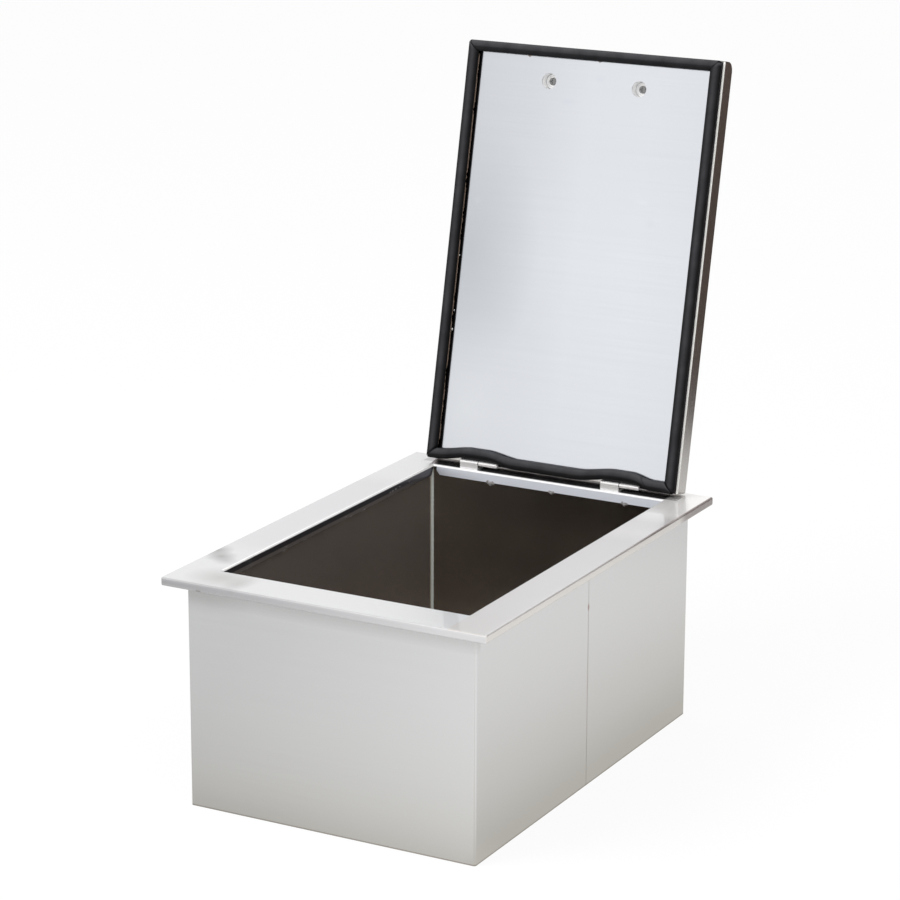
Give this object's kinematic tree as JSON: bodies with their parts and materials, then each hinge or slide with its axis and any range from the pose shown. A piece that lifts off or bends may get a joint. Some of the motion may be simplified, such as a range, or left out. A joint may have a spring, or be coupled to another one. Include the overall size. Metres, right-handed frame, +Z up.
{
  "type": "drop-in ice chest",
  "caption": "Insulated steel ice chest that drops into a worktop cut-out and hangs from a flat rim, with a hinged lid, a bulb seal and a floor drain.",
  "frame": {"origin": "middle of the casing's underside", "axes": "+Z up, +Y to the rear where the lid's hinges are, +X to the right seen from the front; stored with the lid fully open"},
  "size_m": [0.429, 0.7493, 0.826],
  "materials": {
    "rim_steel": "satin",
    "casing_steel": "satin",
    "liner_steel": "satin",
    "lid_steel": "satin",
    "panel_steel": "satin",
    "hardware_steel": "satin",
    "black_rubber": "matte",
    "sealant": "matte",
    "foam": "matte"
  },
  "bodies": {
    "chest": {"rim_frame": "rim_steel", "casing_front": "casing_steel", "casing_rear": "casing_steel", "casing_seam_straps": "casing_steel", "casing_bottom_pan": "casing_steel", "liner_front_floor_rear": "liner_steel", "liner_wall_left": "liner_steel", "liner_wall_right": "liner_steel", "rim_sealant": "sealant", "foam_front": "foam", "foam_rear": "foam", "foam_floor": "foam", "foam_left": "foam", "foam_right": "foam", "drain_fitting": "hardware_steel", "drain_seal": "black_rubber", "drain_locknut": "hardware_steel", "drain_strainer": "hardware_steel", "hinge_rim_leaf_left": "hardware_steel", "hinge_rim_leaf_right": "hardware_steel", "hinge_pin_left": "hardware_steel", "hinge_pin_right": "hardware_steel", "hinge_washers": "hardware_steel"},
    "lid": {"lid_shell": "lid_steel", "lid_inner_panel": "panel_steel", "lid_foam_core": "foam", "lid_access_tubes": "hardware_steel", "seal_front": "black_rubber", "seal_rear": "black_rubber", "seal_left": "black_rubber", "seal_right": "black_rubber", "hinge_lid_leaf_left": "hardware_steel", "hinge_lid_leaf_right": "hardware_steel", "lid_handle": "hardware_steel", "handle_screws": "hardware_steel", "handle_spacers": "hardware_steel"},
    "plug": {"drain_plug": "black_rubber", "drain_plug_knob": "hardware_steel"}
  },
  "joints": [
    {"name": "lid_hinge", "type": "hinge", "parent": "chest", "child": "lid", "pos_m": [0, 0.27175, 0.29465], "axis": [1, 0, 0], "range_deg": [0, 102.11]},
    {"name": "drain_plug_lift", "type": "slide", "parent": "chest", "child": "plug", "axis": [0, 0, 1], "range_m": [0, 0.06]}
  ]
}
